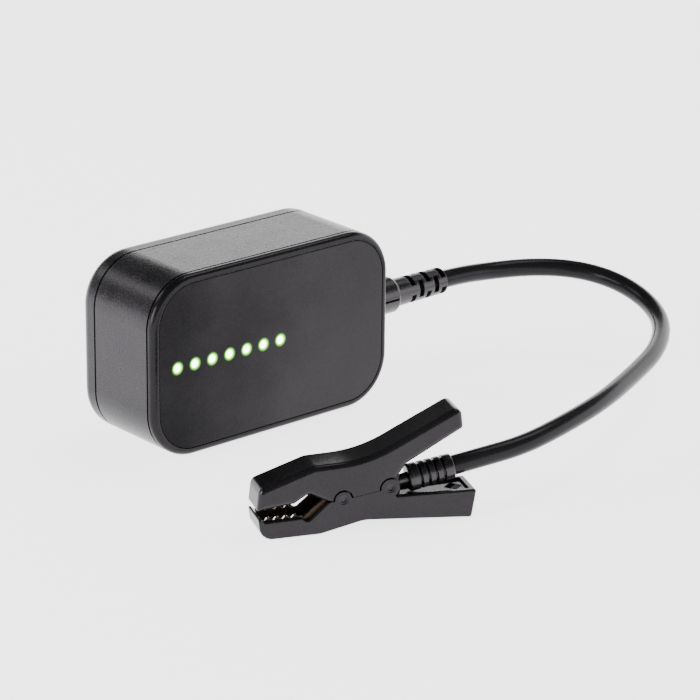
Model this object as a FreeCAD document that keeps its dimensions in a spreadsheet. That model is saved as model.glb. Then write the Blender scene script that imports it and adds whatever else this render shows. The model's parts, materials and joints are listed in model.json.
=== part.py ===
import FreeCAD, Part
import math
import os
import re
import Sketcher

# Battery tester: a moulded box with a row of lights, one short lead and a spring clip.
# Millimetres. Origin at the middle of the box's underside, X towards the lead, -Y towards the face.

SIZES = {
    # box
    "box_width": 98.0, "box_height": 60.7, "box_depth": 38.0, "corner_radius": 16.4, "wall": 2.2,
    "front_depth": 3.0, "rear_depth": 7.6, "front_round": 1.9, "rear_round": 4.0, "seam_bevel": 0.3,
    "panel_inset": 2.4, "panel_gap": 0.12, "panel_thickness": 1.8, "panel_bevel": 0.25, "ledge_width": 2.2,
    "lip_depth": 3.0, "lip_wall": 1.4, "fit_gap": 0.15,
    # case screws and their columns
    "column_inset": 9.75, "column_radius": 5.5, "column_length": 14.0, "cover_boss_radius": 4.4,
    "screw_radius": 1.5, "screw_length": 15.0, "screw_head_radius": 2.75, "screw_head_height": 2.0,
    "screw_sink": 1.0, "screw_gap": 0.08, "recess_length": 3.2, "recess_width": 0.7, "recess_depth": 1.2,
    # circuit board
    "board_left": 5.0, "board_right": 9.0, "board_height": 27.0, "board_thickness": 1.6,
    "board_front": 6.4, "post_length": 5.0, "post_height": 5.0, "board_screw_radius": 1.0,
    "board_screw_length": 5.4, "board_screw_head": 1.9, "board_screw_head_height": 1.3,
    # what the board carries
    "chip_length": 19.3, "chip_width": 6.4, "chip_height": 3.4, "chip_stand": 0.6, "chip_in": 20.5,
    "leg_pairs": 7, "leg_pitch": 2.54, "leg_width": 1.2, "leg_thickness": 0.9,
    "regulator_width": 10.0, "regulator_height": 9.0, "regulator_depth": 4.4, "regulator_stand": 3.0,
    "regulator_gap": 4.0, "regulator_rise": 7.7, "tab_height": 15.6, "tab_thickness": 1.3, "tab_hole": 1.8,
    "capacitor_radius": 3.15, "capacitor_height": 10.6, "capacitor_stand": 0.5, "capacitor_pitch": 9.0,
    "capacitor_gap": 2.85, "resistor_radius": 0.9, "resistor_length": 3.4, "resistor_span": 6.2,
    "resistor_lift": 1.2, "resistor_pitch": 6.9, "resistor_in": 9.5, "resistor_edge": 3.0,
    "resistor_gap": 0.45, "diode_radius": 1.35, "diode_length": 5.2, "diode_span": 10.2, "diode_lift": 1.7,
    "diode_shift": 2.0, "diode_gap": 1.05, "axial_lead": 0.3, "axial_foot": 0.24,
    "load_length": 18.0, "load_width": 6.4, "load_height": 7.0, "load_stand": 1.0, "load_foot": 0.4,
    "load_gap": 0.6, "terminal_length": 10.0, "terminal_width": 10.4, "terminal_height": 10.0,
    "terminal_in": 15.0, "terminal_screw": 1.9, "terminal_screw_depth": 1.5,
    # lights
    "light_count": 7, "light_pitch": 7.0, "light_radius": 1.5, "light_margin": 9.8, "light_rise": 0.55,
    "light_flange": 0.4, "light_flange_height": 1.0, "light_sink": 0.05, "light_gap": 0.08,
    "light_bevel": 0.25, "holder_height": 7.0, "holder_end": 4.0,
    # lead and box strain relief
    "lead_diameter": 6.2, "lead_gap": 0.05, "relief_y": -6.4, "collar_radius": 6.2, "collar_length": 12.5,
    "collar_round": 1.6, "collar_slit": 0.7, "collar_slit_depth": 1.2, "slit_start": 2.2,
    "relief_length": 34.3, "relief_root": 4.8, "relief_tip": 4.5, "relief_neck": 5.4, "relief_flange": 6.2,
    "relief_flange_length": 2.4, "tail_inside": 3.0, "core_bend": 6.0, "core_stop": 2.0,
    "slot_width": 2.0, "slot_angle": 78.0, "slot_first": 18.2, "slot_step": 3.4, "slot_turn": -12.0,
    "slot_rows": 5, "core_radius": 1.15, "core_apart": 2.6,
    # clip, in its own frame: x from the nose to the handles, z up, y across
    "clip_x": -53.66, "clip_y": -82.65, "clip_turn": -23.34, "clip_width": 12.4, "clip_wall": 1.6,
    "clip_web": 2.0, "jaw_round": 1.9, "crown_corner": 2.2, "foot_round": 0.7, "split_gap": 0.12,
    "rivet_x": 21.2, "rivet_z": 10.45, "pivot_x": 36.1, "pivot_z": 12.6, "apex_x": 16.3, "apex_z": 10.0,
    "rivet_lobe": 2.6, "pivot_lobe": 2.9, "lobe_gap": 0.6, "pin_radius": 1.5, "pin_gap": 0.05,
    "pin_sink": 0.25, "pin_hollow": 1.05, "pin_hollow_depth": 0.45, "ear_thickness": 1.5, "ear_radius": 3.4,
    "ear_gap": 0.3, "ear_half": 3.0, "ear_root": 1.6, "ear_overlap": 0.4,
    "nose_x": -5.0, "nose_z": 16.4, "mouth_z": 11.0, "ridge_x": 11.8, "ridge_z": 21.9, "bend_x": 28.8,
    "bend_z": 22.2, "bend_radius": 40.0, "tail_x": 58.6, "tail_z": 36.8, "tail_drop": 7.4,
    "tail_lean": 0.8, "tail_round": 0.9, "throat_x": 38.6, "throat_z": 19.75, "throat_round": 1.0,
    "nose_lean": 0.1, "mouth_drop": 0.1, "mouth_round": 0.5, "hood_run": 4.4, "hood_rise": 0.95,
    "hood_round": 1.0, "hood_extra": 0.1, "hood_lift": 0.2, "ridge_shift": 0.2, "ridge_round": 6.0,
    "shoulder_x": 2.1, "shoulder_z": 2.4,
    "grip_x": 11.0, "grip_top": 14.3, "grip_floor": 4.5, "grip_run": 3.1, "grip_foot": 0.9,
    "grip_round": 1.5, "grip_top_round": 1.4,
    "lip_x": -5.5, "lip_z": 7.4, "bed_z": 5.85, "nose_radius": 4.2, "foot_end": 14.2, "arch_x": 28.0,
    "arch_z": 2.95, "arch_radius": 12.0, "foot_x": 62.4, "handle_x": 63.9, "handle_z": 9.0,
    "lip_length": 2.1, "lip_round": 0.4, "bed_rise": 0.15, "bed_round": 0.6, "nose_foot": 1.0,
    "handle_start": 9.75, "handle_root": 1.74, "handle_round": 0.7, "foot_corner": 0.8, "hollow_end": 2.6,
    "shelf_z": 8.3, "floor_z": 2.4, "diamond_x": 58.2, "diamond_half": 3.0, "diamond_round": 0.5,
    # clip contacts, spring and lead end
    "contact_gap": 0.12, "contact_sheet": 0.8, "tooth_count": 4, "tooth_height": 1.3, "tooth_z": 5.75,
    "tooth_round": 0.55, "tooth_margin": 0.1, "tooth_ramp": 1.6, "contact_rear": 24.0,
    "liner_inset": 1.2, "liner_hood": 1.15, "liner_rear": 2.6, "liner_lip": 0.4,
    "strip_half": 1.2, "strip_rear": 3.4, "strip_drop": 0.25, "barrel_radius": 1.4, "barrel_length": 4.0,
    "wire_radius": 0.45, "coil_radius": 2.45, "coil_turns": 2, "coil_half": 1.9, "lower_leg": 6.0,
    "sleeve_x": 43.9, "sleeve_z": 12.85, "sleeve_tilt": 9.8, "sleeve_length": 14.0, "sleeve_radius": 4.3,
    "sleeve_groove": 0.9, "sleeve_rib": 1.6, "sleeve_depth": 1.0, "sleeve_collar": 2.6,
    "sleeve_end": 3.9, "sleeve_taper": 0.025, "sleeve_round": 0.5, "sleeve_end_round": 0.6,
    "groove_count": 4,
}

doc = FreeCAD.newDocument("battery_tester")
sheet = doc.addObject("Spreadsheet::Sheet", "Sizes")
for row, (alias, number) in enumerate(SIZES.items(), start=1):
    sheet.set("A%d" % row, alias)
    sheet.set("B%d" % row, str(number))
    sheet.setAlias("B%d" % row, alias)
doc.recompute()

FUNCTIONS = ("cos", "sin", "tan", "sqrt")
XZ = "XZ_Plane"
YZ = "YZ_Plane"
XY = "XY_Plane"
ALONG = FreeCAD.Vector(1, 0, 0)
ACROSS = FreeCAD.Vector(0, 1, 0)
UP = FreeCAD.Vector(0, 0, 1)


def size(expression):
    """The value of an expression in the sheet's names."""
    return float(sheet.evalExpression(str(expression)))


def bound(expression):
    """The same expression as another object writes it."""
    def add_sheet(match):
        word = match.group(0)
        return word if word in FUNCTIONS else "Sizes." + word
    return re.sub(r"[a-z_]+[a-z0-9_]*", add_sheet, str(expression))


def bind(target, **expressions):
    """Tie properties of an object to expressions."""
    for name, expression in expressions.items():
        target.setExpression(name, bound(expression))


# Sketch helpers. A corner is (x, y) or (x, y, radius), each an expression.

def corner_shapes(corners):
    """Tangent points and arc centre of each corner of a closed outline."""
    points = [FreeCAD.Vector(size(c[0]), size(c[1]), 0) for c in corners]
    shapes = []
    for index, corner in enumerate(corners):
        here = points[index]
        if len(corner) == 2:
            shapes.append((here, here, None))
            continue
        radius = size(corner[2])
        back = (points[index - 1] - here).normalize()
        ahead = (points[(index + 1) % len(points)] - here).normalize()
        half = back.getAngle(ahead) / 2
        reach = radius / math.tan(half)
        middle = (back + ahead).normalize() * (radius / math.sin(half))
        shapes.append((here + back * reach, here + ahead * reach, here + middle))
    return points, shapes


def add_outline(sketch, corners):
    """A closed outline of lines and tangent arcs whose corners follow the sheet."""
    points, shapes = corner_shapes(corners)
    count = len(corners)
    lines = []
    for index in range(count):
        start = shapes[index][1]
        end = shapes[(index + 1) % count][0]
        lines.append(sketch.addGeometry(Part.LineSegment(start, end), False))
    for index, corner in enumerate(corners):
        before = lines[index - 1]
        after = lines[index]
        x, y = corner[:2]
        if len(corner) == 2:
            sketch.addConstraint(Sketcher.Constraint("Coincident", before, 2, after, 1))
            place_point(sketch, after, x, y)
            continue
        start, end, centre = shapes[index]
        radius = size(corner[2])
        turn = (start - centre).cross(end - centre).z
        first, last = (start, end) if turn > 0 else (end, start)
        from_angle = math.atan2(first.y - centre.y, first.x - centre.x)
        to_angle = math.atan2(last.y - centre.y, last.x - centre.x)
        if to_angle < from_angle:
            to_angle += 2 * math.pi
        circle = Part.Circle(centre, FreeCAD.Vector(0, 0, 1), radius)
        arc = sketch.addGeometry(Part.ArcOfCircle(circle, from_angle, to_angle), False)
        at_start, at_end = (1, 2) if turn > 0 else (2, 1)
        sketch.addConstraint(Sketcher.Constraint("Tangent", before, 2, arc, at_start))
        sketch.addConstraint(Sketcher.Constraint("Tangent", arc, at_end, after, 1))
        held = sketch.addConstraint(Sketcher.Constraint("Radius", arc, radius))
        sketch.setExpression("Constraints[%d]" % held, bound(corner[2]))
        mark = sketch.addGeometry(Part.Point(points[index]), True)
        sketch.addConstraint(Sketcher.Constraint("PointOnObject", mark, 1, before))
        sketch.addConstraint(Sketcher.Constraint("PointOnObject", mark, 1, after))
        place_point(sketch, mark, x, y)


def place_point(sketch, geometry, x, y, vertex=1):
    """Hold a vertex at x, y from the sketch's origin."""
    for kind, expression in (("DistanceX", x), ("DistanceY", y)):
        held = sketch.addConstraint(
            Sketcher.Constraint(kind, -1, 1, geometry, vertex, size(expression)))
        sketch.setExpression("Constraints[%d]" % held, bound(expression))


def add_circle(sketch, x, y, radius):
    centre = FreeCAD.Vector(size(x), size(y), 0)
    ring = sketch.addGeometry(Part.Circle(centre, FreeCAD.Vector(0, 0, 1), size(radius)), False)
    place_point(sketch, ring, x, y, vertex=3)
    held = sketch.addConstraint(Sketcher.Constraint("Radius", ring, size(radius)))
    sketch.setExpression("Constraints[%d]" % held, bound(radius))


def new_body(label):
    body = doc.addObject("PartDesign::Body", label)
    body.Label = label
    return body


def origin_feature(body, role):
    return [item for item in body.Origin.OriginFeatures if item.Role == role][0]


def new_sketch(body, plane, offset=None):
    """A sketch on one of the body's own planes, moved along the plane's normal."""
    sketch = body.newObject("Sketcher::SketchObject", body.Name + "_sketch")
    sketch.AttachmentSupport = [(origin_feature(body, plane), "")]
    sketch.MapMode = "FlatFace"
    if offset is not None:
        sketch.setExpression("AttachmentOffset.Base.z", bound(offset))
    return sketch


def extrude(kind, body, sketch, length, both_ways=False):
    """A Pad or Pocket of a sketch."""
    feature = body.newObject("PartDesign::" + kind, body.Name + "_" + kind.lower())
    feature.Profile = sketch
    if both_ways:
        feature.SideType = "Symmetric"
    bind(feature, Length=length)
    doc.recompute()
    return feature


def outlines(body, plane, offset, *loops):
    sketch = new_sketch(body, plane, offset)
    for loop in loops:
        add_outline(sketch, loop)
    return sketch


def circles(body, plane, offset, rings):
    sketch = new_sketch(body, plane, offset)
    for x, y, radius in rings:
        add_circle(sketch, x, y, radius)
    return sketch


def cut_both_ways(body, sketch, length):
    """A pocket to both sides of its sketch, which has to take something away."""
    before = body.Shape.Volume
    feature = extrude("Pocket", body, sketch, length, both_ways=True)
    if body.Shape.Volume > before - 1e-6:
        raise RuntimeError(body.Label + ": a cut took nothing away")
    return feature


def dress(kind, body, test, **sizes):
    """A Fillet or Chamfer on the edges that a test picks."""
    base = body.Tip
    names = ["Edge%d" % (i + 1) for i, edge in enumerate(base.Shape.Edges) if test(edge)]
    feature = body.newObject("PartDesign::" + kind, body.Name + "_" + kind.lower())
    feature.Base = (base, names)
    bind(feature, **sizes)
    doc.recompute()
    return feature


def middle_of(edge):
    return edge.valueAt((edge.FirstParameter + edge.LastParameter) / 2)


def near(value, other):
    return abs(value - other) < 0.01


# Plain solids and groups of them.

def solid(kind, name, place=(), turn=None, **sizes):
    """A Part primitive with its sizes, and its place where one is given, tied to the sheet."""
    item = doc.addObject("Part::" + kind, name)
    if turn is not None:
        item.Placement = FreeCAD.Placement(FreeCAD.Vector(0, 0, 0), FreeCAD.Rotation(*turn))
    bind(item, **sizes)
    for axis, expression in zip("xyz", place):
        item.setExpression("Placement.Base." + axis, bound(expression))
    return item


def joined(name, items):
    fuse = doc.addObject("Part::MultiFuse", name)
    fuse.Shapes = items
    return fuse


def without(name, base, tool):
    cut = doc.addObject("Part::Cut", name)
    cut.Base = base
    cut.Tool = tool
    return cut


def group(label, items):
    compound = doc.addObject("Part::Compound", label)
    compound.Links = items
    compound.Label = label
    return compound


TO_BACK = (ALONG, -90)
TO_FRONT = (ALONG, 90)
TO_SIDE = (ACROSS, 90)

# Box

HALF_WIDTH = "box_width / 2"
FACE = "-box_depth / 2"
FRAME_BACK = "-box_depth / 2 + front_depth"
BODY_BACK = "box_depth / 2 - rear_depth"
BODY_LENGTH = "box_depth - front_depth - rear_depth"
MIDDLE = "box_height / 2"
COVER_INSET = "wall + fit_gap + lip_wall"


def minus(expression):
    return "-(%s)" % expression


def rounded(inset):
    """The box's outline, drawn in by an inset."""
    side = "%s - (%s)" % (HALF_WIDTH, inset)
    top = "box_height - (%s)" % inset
    radius = "corner_radius - (%s)" % inset
    return [(minus(side), inset, radius), (side, inset, radius),
            (side, top, radius), (minus(side), top, radius)]


def column_places():
    side = "%s - column_inset" % HALF_WIDTH
    return [(x, z) for x in (side, minus(side)) for z in ("column_inset", "box_height - column_inset")]


def on_outline(edge, depth):
    """True for the outer outline's edges at a depth."""
    box = edge.BoundBox
    if not (near(box.YMin, depth) and near(box.YMax, depth)):
        return False
    place = middle_of(edge)
    half = FreeCAD.Vector(size(HALF_WIDTH), 0, size(MIDDLE))
    radius = size("corner_radius")
    dx = abs(place.x) - (half.x - radius)
    dz = abs(place.z - half.z) - (half.z - radius)
    if dx > 0 and dz > 0:
        return near(math.hypot(dx, dz), radius)
    return near(max(dx, dz), radius)


BOARD_LEFT = "board_left - %s" % HALF_WIDTH
BOARD_RIGHT = "%s - board_right" % HALF_WIDTH


def post_place(side):
    """Screw place of a board post, from the board's edge."""
    edge = BOARD_RIGHT if side > 0 else BOARD_LEFT
    return "%s - %s * post_height / 2" % (edge, side)


POST_ROWS = ["%s + %s * (board_height / 2 - post_height / 2)" % (MIDDLE, sign) for sign in (-1, 1)]
BOARD_FACE = "%s + board_front" % FACE
BOARD_BACK = "%s + board_front + board_thickness" % FACE


def housing_body():
    body = new_body("housing_body")
    extrude("Pad", body, outlines(body, XZ, minus(BODY_BACK), rounded("0"), rounded("wall")), BODY_LENGTH)
    column_end = "%s - lip_depth" % BODY_BACK
    rings = [(x, z, "column_radius") for x, z in column_places()]
    extrude("Pad", body, circles(body, XZ, minus(column_end), rings), "column_length")
    pilots = [(x, z, "screw_radius + screw_gap") for x, z in column_places()]
    cut_both_ways(body, circles(body, XZ, minus(column_end), pilots), "2 * (column_length - wall)")
    posts = []
    holes = []
    for side in (-1, 1):
        inner = "%s - %s * post_height / 2" % (post_place(side), side)
        wall_in = "%s * (%s - wall / 2)" % (side, HALF_WIDTH)
        for z in POST_ROWS:
            low = "%s - post_height / 2" % z
            high = "%s + post_height / 2" % z
            posts.append([(inner, low), (wall_in, low), (wall_in, high), (inner, high)])
            holes.append((post_place(side), z, "board_screw_radius + screw_gap"))
    post_back = "%s + post_length" % BOARD_BACK
    extrude("Pad", body, outlines(body, XZ, minus(post_back), *posts), "post_length")
    cut_both_ways(body, circles(body, XZ, minus(BOARD_BACK), holes), "2 * board_screw_length")
    gland = circles(body, YZ, "%s - wall / 2" % HALF_WIDTH, [("relief_y", MIDDLE, "relief_neck + fit_gap")])
    cut_both_ways(body, gland, "wall * 2")
    for depth in (size(FRAME_BACK), size(BODY_BACK)):
        dress("Chamfer", body, lambda edge: on_outline(edge, depth), Size="seam_bevel")
    return body


def front_frame():
    body = new_body("front_frame")
    band = outlines(body, XZ, minus(FRAME_BACK), rounded("0"), rounded("panel_inset"))
    extrude("Pad", body, band, "front_depth")
    dress("Fillet", body, lambda edge: on_outline(edge, size(FACE)), Radius="front_round")
    dress("Chamfer", body, lambda edge: on_outline(edge, size(FRAME_BACK)), Size="seam_bevel")
    ledge_inside = rounded("panel_inset + ledge_width")
    ledge = outlines(body, XZ, minus(FRAME_BACK), rounded("panel_inset / 2"), ledge_inside)
    extrude("Pad", body, ledge, "front_depth - panel_thickness")
    lip_end = minus("%s + lip_depth" % FRAME_BACK)
    lip = outlines(body, XZ, lip_end, rounded("wall + fit_gap"), rounded(COVER_INSET))
    extrude("Pad", body, lip, "lip_depth")
    return body


def light_row(body, feature):
    """Repeat a cut at every light."""
    row = body.newObject("PartDesign::LinearPattern", body.Name + "_row")
    row.Originals = [feature]
    row.Direction = (origin_feature(body, "X_Axis"), [""])
    bind(row, Length="light_pitch * (light_count - 1)", Occurrences="light_count")
    body.Tip = row
    doc.recompute()


LIGHT_FIRST = "light_margin - %s" % HALF_WIDTH
LIGHT_Z = "%s + light_rise" % MIDDLE
LIGHT_HOLE = "light_radius + light_gap"


def face_panel():
    body = new_body("face_panel")
    plate = outlines(body, XZ, minus("%s + panel_thickness" % FACE), rounded("panel_inset + panel_gap"))
    extrude("Pad", body, plate, "panel_thickness")
    hole = circles(body, XZ, minus(FACE), [(LIGHT_FIRST, LIGHT_Z, LIGHT_HOLE)])
    light_row(body, cut_both_ways(body, hole, "4 * panel_thickness"))

    def rim(edge):
        box = edge.BoundBox
        return near(box.YMax, size(FACE)) and box.DiagonalLength > 3 * size(LIGHT_HOLE)
    dress("Chamfer", body, rim, Size="panel_bevel")
    return body


def rear_cover():
    body = new_body("rear_cover")
    back = "box_depth / 2"
    extrude("Pad", body, outlines(body, XZ, minus(back), rounded("0")), "rear_depth")
    dress("Fillet", body, lambda edge: on_outline(edge, size(back)), Radius="rear_round")
    dress("Chamfer", body, lambda edge: on_outline(edge, size(BODY_BACK)), Size="seam_bevel")
    hollow = outlines(body, XZ, minus(BODY_BACK), rounded(COVER_INSET))
    cut_both_ways(body, hollow, "2 * (rear_depth - wall)")
    lip = outlines(body, XZ, minus(BODY_BACK), rounded("wall + fit_gap"), rounded(COVER_INSET))
    extrude("Pad", body, lip, "lip_depth")
    rings = [(x, z, "cover_boss_radius") for x, z in column_places()]
    bosses = circles(body, XZ, minus("%s - wall / 2" % back), rings)
    extrude("Pad", body, bosses, "rear_depth - wall / 2 + lip_depth")
    bores = [(x, z, "screw_radius + screw_gap") for x, z in column_places()]
    cut_both_ways(body, circles(body, XZ, minus(back), bores), "4 * rear_depth")
    heads = [(x, z, "screw_head_radius + fit_gap") for x, z in column_places()]
    cut_both_ways(body, circles(body, XZ, minus(back), heads), "2 * (screw_sink + screw_head_height)")
    return body


def case_screws():
    screws = []
    seat = "box_depth / 2 - screw_sink - screw_head_height"
    for index, (x, z) in enumerate(column_places()):
        shank = solid("Cylinder", "case_shank_%d" % index, (x, "%s - screw_length" % seat, z), TO_BACK,
                      Radius="screw_radius", Height="screw_length")
        head = solid("Cylinder", "case_head_%d" % index, (x, seat, z), TO_BACK,
                     Radius="screw_head_radius", Height="screw_head_height")
        cross = joined("case_cross_%d" % index, [
            solid("Box", "case_recess_%d_%d" % (index, way), recess_corner(x, z, seat, way),
                  Length="recess_length" if way else "recess_width", Width="recess_depth + fit_gap",
                  Height="recess_width" if way else "recess_length") for way in (0, 1)])
        blank = joined("case_blank_%d" % index, [shank, head])
        screws.append(without("case_screw_%d" % index, blank, cross))
    return group("case_screws", screws)


def recess_corner(x, z, seat, way):
    """Lowest corner of one arm of a screw's cross recess."""
    half_x = "recess_length / 2" if way else "recess_width / 2"
    half_z = "recess_width / 2" if way else "recess_length / 2"
    floor = "%s + screw_head_height - recess_depth" % seat
    return ("%s - %s" % (x, half_x), floor, "%s - %s" % (z, half_z))


# Circuit board and what it carries

def circuit_board():
    body = new_body("circuit_board")
    left = BOARD_LEFT
    right = BOARD_RIGHT
    low = "%s - board_height / 2" % MIDDLE
    high = "%s + board_height / 2" % MIDDLE
    plate = outlines(body, XZ, minus(BOARD_BACK), [(left, low), (right, low), (right, high), (left, high)])
    extrude("Pad", body, plate, "board_thickness")
    holes = [(post_place(side), z, "board_screw_radius + screw_gap") for side in (-1, 1) for z in POST_ROWS]
    cut_both_ways(body, circles(body, XZ, minus(BOARD_BACK), holes), "4 * board_thickness")
    return body


def board_screws():
    screws = []
    for index, (side, z) in enumerate([(side, z) for side in (-1, 1) for z in POST_ROWS]):
        x = post_place(side)
        shank = solid("Cylinder", "board_shank_%d" % index, (x, BOARD_FACE, z), TO_BACK,
                      Radius="board_screw_radius", Height="board_screw_length")
        top = "%s - board_screw_head_height" % BOARD_FACE
        head = solid("Cylinder", "board_head_%d" % index, (x, top, z), TO_BACK,
                     Radius="board_screw_head", Height="board_screw_head_height")
        screws.append(joined("board_screw_%d" % index, [shank, head]))
    return group("board_screws", screws)


def indicator_leds():
    """Flat-topped lights standing on the board, their bevelled tops just under the panel's face."""
    lights = []
    for index in range(int(size("light_count"))):
        x = "%s + %d * light_pitch" % (LIGHT_FIRST, index)
        shoulder = "%s + light_sink + light_bevel" % FACE
        stem = solid("Cylinder", "light_stem_%d" % index, (x, shoulder, LIGHT_Z), TO_BACK,
                     Radius="light_radius", Height="board_front - light_sink - light_bevel")
        top = solid("Cone", "light_top_%d" % index, (x, "%s + light_sink" % FACE, LIGHT_Z), TO_BACK,
                    Radius1="light_radius - light_bevel", Radius2="light_radius", Height="light_bevel")
        base = (x, "%s - light_flange_height" % BOARD_FACE, LIGHT_Z)
        flange = solid("Cylinder", "light_flange_%d" % index, base, TO_BACK,
                       Radius="light_radius + light_flange", Height="light_flange_height")
        lights.append(joined("light_%d" % index, [stem, top, flange]))
    return group("indicator_leds", lights)


def led_holder():
    """A bar between panel and board, bored for the lights."""
    body = new_body("led_holder")
    left = "%s - holder_end" % LIGHT_FIRST
    right = "%s + light_pitch * (light_count - 1) + holder_end" % LIGHT_FIRST
    low = "%s - holder_height / 2" % LIGHT_Z
    high = "%s + holder_height / 2" % LIGHT_Z
    bar = outlines(body, XZ, minus(BOARD_FACE), [(left, low), (right, low), (right, high), (left, high)])
    extrude("Pad", body, bar, "board_front - panel_thickness - fit_gap")
    bore = circles(body, XZ, minus(BOARD_FACE), [(LIGHT_FIRST, LIGHT_Z, LIGHT_HOLE)])
    light_row(body, cut_both_ways(body, bore, "4 * board_front"))
    wide = circles(body, XZ, minus(BOARD_FACE), [(LIGHT_FIRST, LIGHT_Z, LIGHT_HOLE + " + light_flange")])
    light_row(body, cut_both_ways(body, wide, "2 * (light_flange_height + light_gap)"))
    return body


def block(name, x, z, width, depth, height, lift="0"):
    """A box on the board's rear face, centred at x, z."""
    corner = ("%s - (%s) / 2" % (x, width), "%s + %s" % (BOARD_BACK, lift), "%s - (%s) / 2" % (z, height))
    return solid("Box", name, corner, Length=width, Width=depth, Height=height)


def peg(name, x, z, radius, depth, lift="0"):
    """A cylinder standing on the board's rear face."""
    foot = (x, "%s + %s" % (BOARD_BACK, lift), z)
    return solid("Cylinder", name, foot, TO_BACK, Radius=radius, Height=depth)


def bar(name, x, z, radius, length, lift):
    """A cylinder lying along X over the board's rear face."""
    end = ("%s - (%s) / 2" % (x, length), "%s + %s" % (BOARD_BACK, lift), z)
    return solid("Cylinder", name, end, TO_SIDE, Radius=radius, Height=length)


def labelled(item):
    item.Label = item.Name
    return item


# Places on the board: chip and resistors from its left end, the rest from its right end.
CHIP_X = "%s + chip_in" % BOARD_LEFT
RESISTOR_X = "%s + resistor_in" % BOARD_LEFT
RESISTOR_Z = "%s - board_height / 2 + resistor_edge" % MIDDLE
TERMINAL_X = "%s - terminal_in - terminal_length / 2" % BOARD_RIGHT
LOAD_Z = "%s + terminal_width / 2 + load_gap + load_width / 2" % MIDDLE
REGULATOR_X = "%s - load_length / 2 - regulator_gap - regulator_width / 2" % TERMINAL_X
REGULATOR_Z = "%s + regulator_rise" % MIDDLE
CAPACITOR_X = "%s - terminal_length / 2 - capacitor_gap - capacitor_radius - capacitor_pitch" % TERMINAL_X
CAPACITOR_Z = "%s + resistor_radius + resistor_gap + capacitor_radius" % RESISTOR_Z
DIODE_X = "%s + diode_shift" % TERMINAL_X
DIODE_Z = "%s - terminal_width / 2 - diode_gap - diode_radius" % MIDDLE


def control_chip():
    """A dual in-line package with its two rows of legs."""
    pieces = [block("chip_case", CHIP_X, MIDDLE, "chip_length", "chip_height", "chip_width",
                    lift="chip_stand")]
    for index in range(int(size("leg_pairs"))):
        for side in (-1, 1):
            leg_x = "%s + (%d - (leg_pairs - 1) / 2) * leg_pitch" % (CHIP_X, index)
            leg_z = "%s + %d * (chip_width / 2 + leg_thickness / 2 - screw_gap)" % (MIDDLE, side)
            pieces.append(block("chip_leg_%d_%d" % (index, side), leg_x, leg_z, "leg_width",
                                "chip_stand + chip_height / 2", "leg_thickness"))
    return labelled(joined("control_chip", pieces))


def voltage_regulator():
    """A three-legged regulator standing on the board, its metal tab upwards."""
    case = block("regulator_case", REGULATOR_X, REGULATOR_Z, "regulator_width", "regulator_height",
                 "regulator_depth", lift="regulator_stand")
    tab_z = "%s + regulator_depth / 2" % REGULATOR_Z
    tab = block("regulator_tab", REGULATOR_X, tab_z, "regulator_width", "tab_height", "tab_thickness",
                lift="regulator_stand")
    legs = [block("regulator_leg_%d" % i, "%s + %d * leg_pitch" % (REGULATOR_X, i - 1), REGULATOR_Z,
                  "leg_thickness", "regulator_stand + tab_thickness", "leg_thickness") for i in range(3)]
    eye = "%s + regulator_stand + (regulator_height + tab_height) / 2" % BOARD_BACK
    hole = solid("Cylinder", "regulator_hole", (REGULATOR_X, eye, REGULATOR_Z),
                 Radius="tab_hole", Height="2 * regulator_depth")
    return labelled(without("voltage_regulator", joined("regulator_solid", [tab, case] + legs), hole))


def capacitors():
    cans = []
    for index in range(2):
        x = "%s + %d * capacitor_pitch" % (CAPACITOR_X, index)
        can = peg("capacitor_can_%d" % index, x, CAPACITOR_Z, "capacitor_radius", "capacitor_height",
                  lift="capacitor_stand")
        seal = peg("capacitor_seal_%d" % index, x, CAPACITOR_Z, "capacitor_radius - capacitor_stand",
                   "capacitor_stand")
        cans.append(joined("capacitor_%d" % index, [can, seal]))
    return group("capacitors", cans)


def axial(name, x, z, kind):
    """A part with a lead at each end, bent down to the board."""
    pieces = [bar(name + "_body", x, z, kind + "_radius", kind + "_length", kind + "_lift"),
              bar(name + "_lead", x, z, "axial_lead", kind + "_span", kind + "_lift")]
    for side in (-1, 1):
        foot = "%s + %d * (%s_span / 2 - axial_lead)" % (x, side, kind)
        pieces.append(peg("%s_foot_%d" % (name, side), foot, z, "axial_foot", kind + "_lift"))
    return joined(name, pieces)


def resistors():
    """One for each light."""
    items = []
    for index in range(int(size("light_count"))):
        x = "%s + %d * resistor_pitch" % (RESISTOR_X, index)
        items.append(axial("resistor_%d" % index, x, RESISTOR_Z, "resistor"))
    return group("resistors", items)


def protection_diode():
    return labelled(axial("protection_diode", DIODE_X, DIODE_Z, "diode"))


def load_resistor():
    pieces = [block("load_case", TERMINAL_X, LOAD_Z, "load_length", "load_height", "load_width",
                    lift="load_stand")]
    for side in (-1, 1):
        foot = "%s + %d * load_length / 3" % (TERMINAL_X, side)
        pieces.append(peg("load_foot_%d" % side, foot, LOAD_Z, "load_foot", "load_stand + load_foot"))
    return labelled(joined("load_resistor", pieces))


def wire_terminal():
    """A two-way screw terminal, its wire holes towards the lead."""
    case = block("terminal_case", TERMINAL_X, MIDDLE, "terminal_length", "terminal_height",
                 "terminal_width")
    tools = []
    for side in (-1, 1):
        z = "%s + %s * core_apart" % (MIDDLE, side)
        tools.append(solid("Cylinder", "terminal_hole_%d" % side, (TERMINAL_X, "relief_y", z), TO_SIDE,
                           Radius="core_radius + screw_gap", Height="terminal_length"))
        tools.append(peg("terminal_screw_hole_%d" % side, TERMINAL_X, z, "terminal_screw",
                         "2 * terminal_screw_depth", lift="terminal_height - terminal_screw_depth"))
    return labelled(without("wire_terminal", case, joined("terminal_holes", tools)))


# Lead

RELIEF_END = "%s + relief_length" % HALF_WIDTH
TAIL_START = "%s - wall - relief_flange_length - tail_inside" % HALF_WIDTH


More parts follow.
